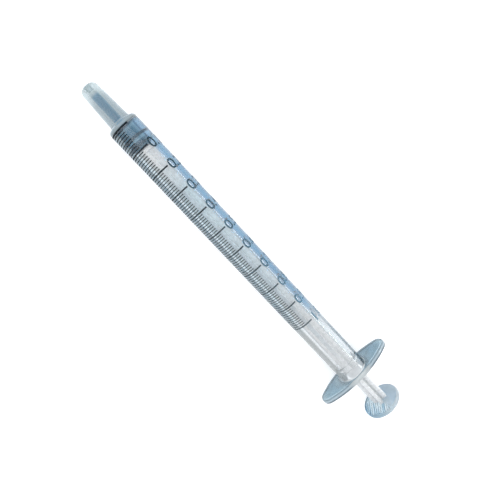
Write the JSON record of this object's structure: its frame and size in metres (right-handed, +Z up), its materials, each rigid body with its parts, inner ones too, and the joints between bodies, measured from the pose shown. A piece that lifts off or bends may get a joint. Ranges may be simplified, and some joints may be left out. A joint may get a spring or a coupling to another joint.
{
  "type": "oral syringe",
  "caption": "Slim oral syringe: clear barrel with a wide tapered nozzle and finger flange, rubber stopper, and a cross-ribbed plunger rod with a thumb disc.",
  "frame": {"origin": "under the middle of the closed syringe's length, on its axis in plan, level with the lowest edge of the thumb disc", "axes": "+X along the syringe from nozzle to thumb disc, Y along the wings of the finger flange, +Z up; the syringe lies on its side"},
  "size_m": [0.097, 0.0204, 0.0095],
  "materials": {
    "barrel_plastic": "clear polypropylene with a light blue cast, polished",
    "stopper_rubber": "smooth blue-grey elastomer, satin",
    "rod_plastic": "translucent natural polypropylene, semi-gloss",
    "print_ink": "matt blue-black pad-printed ink"
  },
  "bodies": {
    "barrel": {"barrel": "barrel_plastic"},
    "stopper": {"stopper": "stopper_rubber"},
    "plunger": {"plunger_rod": "rod_plastic"}
  },
  "joints": [
    {"name": "plunger_slide", "type": "slide", "parent": "barrel", "child": "stopper", "axis": [1, 0, 0], "range_m": [0, 0.0657]},
    {"name": "rod_spin", "type": "hinge", "parent": "stopper", "child": "plunger", "pos_m": [-0.0325, 0, 0.00474], "axis": [1, 0, 0], "continuous": true}
  ]
}
